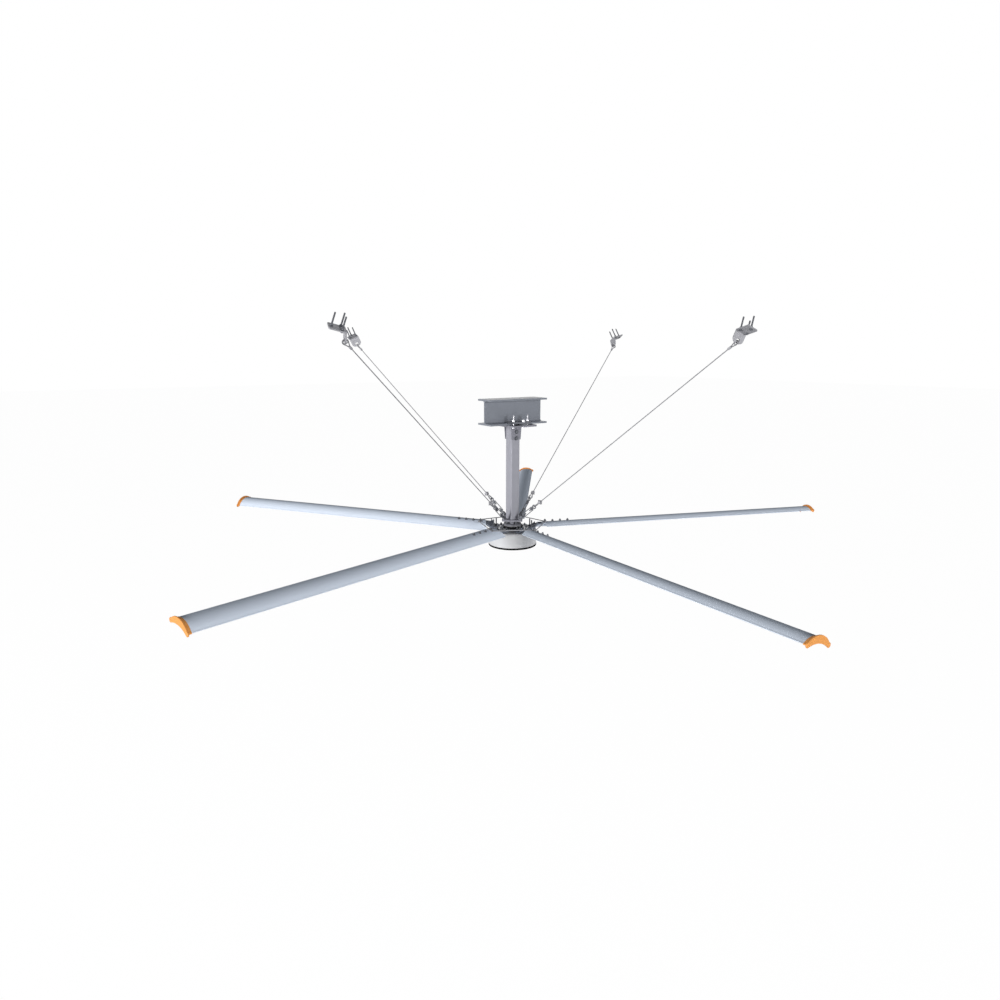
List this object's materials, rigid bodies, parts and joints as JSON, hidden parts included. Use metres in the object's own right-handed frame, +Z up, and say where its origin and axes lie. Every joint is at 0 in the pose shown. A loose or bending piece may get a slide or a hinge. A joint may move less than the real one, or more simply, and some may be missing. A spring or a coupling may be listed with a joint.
{
  "type": "industrial ceiling fan",
  "caption": "Large slow ceiling fan with long aerofoil blades on a drum motor, hung from a short beam by a square drop tube and steadied by rope guys with turnbuckles.",
  "frame": {"origin": "centre of the beam's top face", "axes": "+Z up along the hub axis, +X along the beam"},
  "size_m": [5.8686, 5.6152, 1.944],
  "materials": {
    "beam_paint": "satin",
    "bracket_paint": "satin",
    "tube_paint": "satin",
    "zinc_steel": "zinc plated",
    "dark_steel": "oiled",
    "strut_paint": "satin",
    "rope_steel": "galvanised",
    "blade_alloy": "satin anodised",
    "cap_plastic": "satin moulded",
    "motor_white": "powder coated",
    "hub_alloy": "cast",
    "black_rubber": "matte",
    "core_steel": "laminated",
    "copper": "enamelled wire",
    "magnet": "plated",
    "gland_plastic": "moulded"
  },
  "bodies": {
    "frame": {"mounting_beam": "beam_paint", "hanger_bracket": "bracket_paint", "flange_clamps": "dark_steel", "flange_clamp_bolts": "zinc_steel", "hanger_bolts": "dark_steel", "downtube": "tube_paint", "cable_gland": "gland_plastic", "guy_plate": "bracket_paint", "spindle": "zinc_steel", "spindle_bolts": "dark_steel", "bearing_inner_rings": "zinc_steel", "spindle_locknut": "zinc_steel", "stator_core": "core_steel", "stator_windings": "copper", "stator_hub": "hub_alloy", "turnbuckle_jaws": "dark_steel", "clevis_pins": "dark_steel", "turnbuckle_eyes": "dark_steel", "wire_thimbles": "zinc_steel", "wire_loops": "rope_steel", "rope_grips": "zinc_steel", "rope_ferrules": "zinc_steel", "girder_bolts": "dark_steel", "guy_wire_1": "rope_steel", "girder_clamp_1": "zinc_steel", "guy_wire_2": "rope_steel", "girder_clamp_2": "zinc_steel", "guy_wire_3": "rope_steel", "girder_clamp_3": "zinc_steel", "guy_wire_4": "rope_steel", "girder_clamp_4": "zinc_steel"},
    "rotor": {"motor_top_cover": "motor_white", "motor_drum": "motor_white", "motor_bottom_cover": "motor_white", "motor_rim": "black_rubber", "motor_hub_plate": "hub_alloy", "shaft_seal": "black_rubber", "back_iron": "core_steel", "magnets": "magnet", "bearing_outer_rings": "zinc_steel", "blade_struts": "strut_paint", "blade_bolts": "dark_steel", "small_screws": "dark_steel", "safety_ring": "zinc_steel", "blade_1": "blade_alloy", "blade_2": "blade_alloy", "blade_3": "blade_alloy", "blade_4": "blade_alloy", "blade_5": "blade_alloy", "end_cap_1": "cap_plastic", "end_cap_2": "cap_plastic", "end_cap_3": "cap_plastic", "end_cap_4": "cap_plastic", "end_cap_5": "cap_plastic"},
    "ball_cages": {"bearing_balls": "zinc_steel"},
    "turnbuckle_1": {"turnbuckle_body_1": "dark_steel"},
    "turnbuckle_2": {"turnbuckle_body_2": "dark_steel"},
    "turnbuckle_3": {"turnbuckle_body_3": "dark_steel"},
    "turnbuckle_4": {"turnbuckle_body_4": "dark_steel"}
  },
  "joints": [
    {"name": "rotor_spin", "type": "hinge", "parent": "frame", "child": "rotor", "pos_m": [0, 0, -1.147], "axis": [0, 0, 1], "continuous": true},
    {"name": "ball_cage_spin", "type": "hinge", "parent": "frame", "child": "ball_cages", "pos_m": [0, 0, -1.147], "axis": [0, 0, 1], "continuous": true},
    {"name": "turnbuckle_1_turn", "type": "hinge", "parent": "frame", "child": "turnbuckle_1", "pos_m": [0.09886, 0.01504, -1.0485], "axis": [0.7097, 0.2898, 0.6421], "continuous": true},
    {"name": "turnbuckle_2_turn", "type": "hinge", "parent": "frame", "child": "turnbuckle_2", "pos_m": [-0.01504, 0.09886, -1.0485], "axis": [-0.2898, 0.7097, 0.6421], "continuous": true},
    {"name": "turnbuckle_3_turn", "type": "hinge", "parent": "frame", "child": "turnbuckle_3", "pos_m": [-0.09886, -0.01504, -1.0485], "axis": [-0.7097, -0.2898, 0.6421], "continuous": true},
    {"name": "turnbuckle_4_turn", "type": "hinge", "parent": "frame", "child": "turnbuckle_4", "pos_m": [0.01504, -0.09886, -1.0485], "axis": [0.2898, -0.7097, 0.6421], "continuous": true}
  ],
  "couplings": [
    {"joint": "ball_cage_spin", "follows": "rotor_spin", "ratio": 0.59}
  ]
}
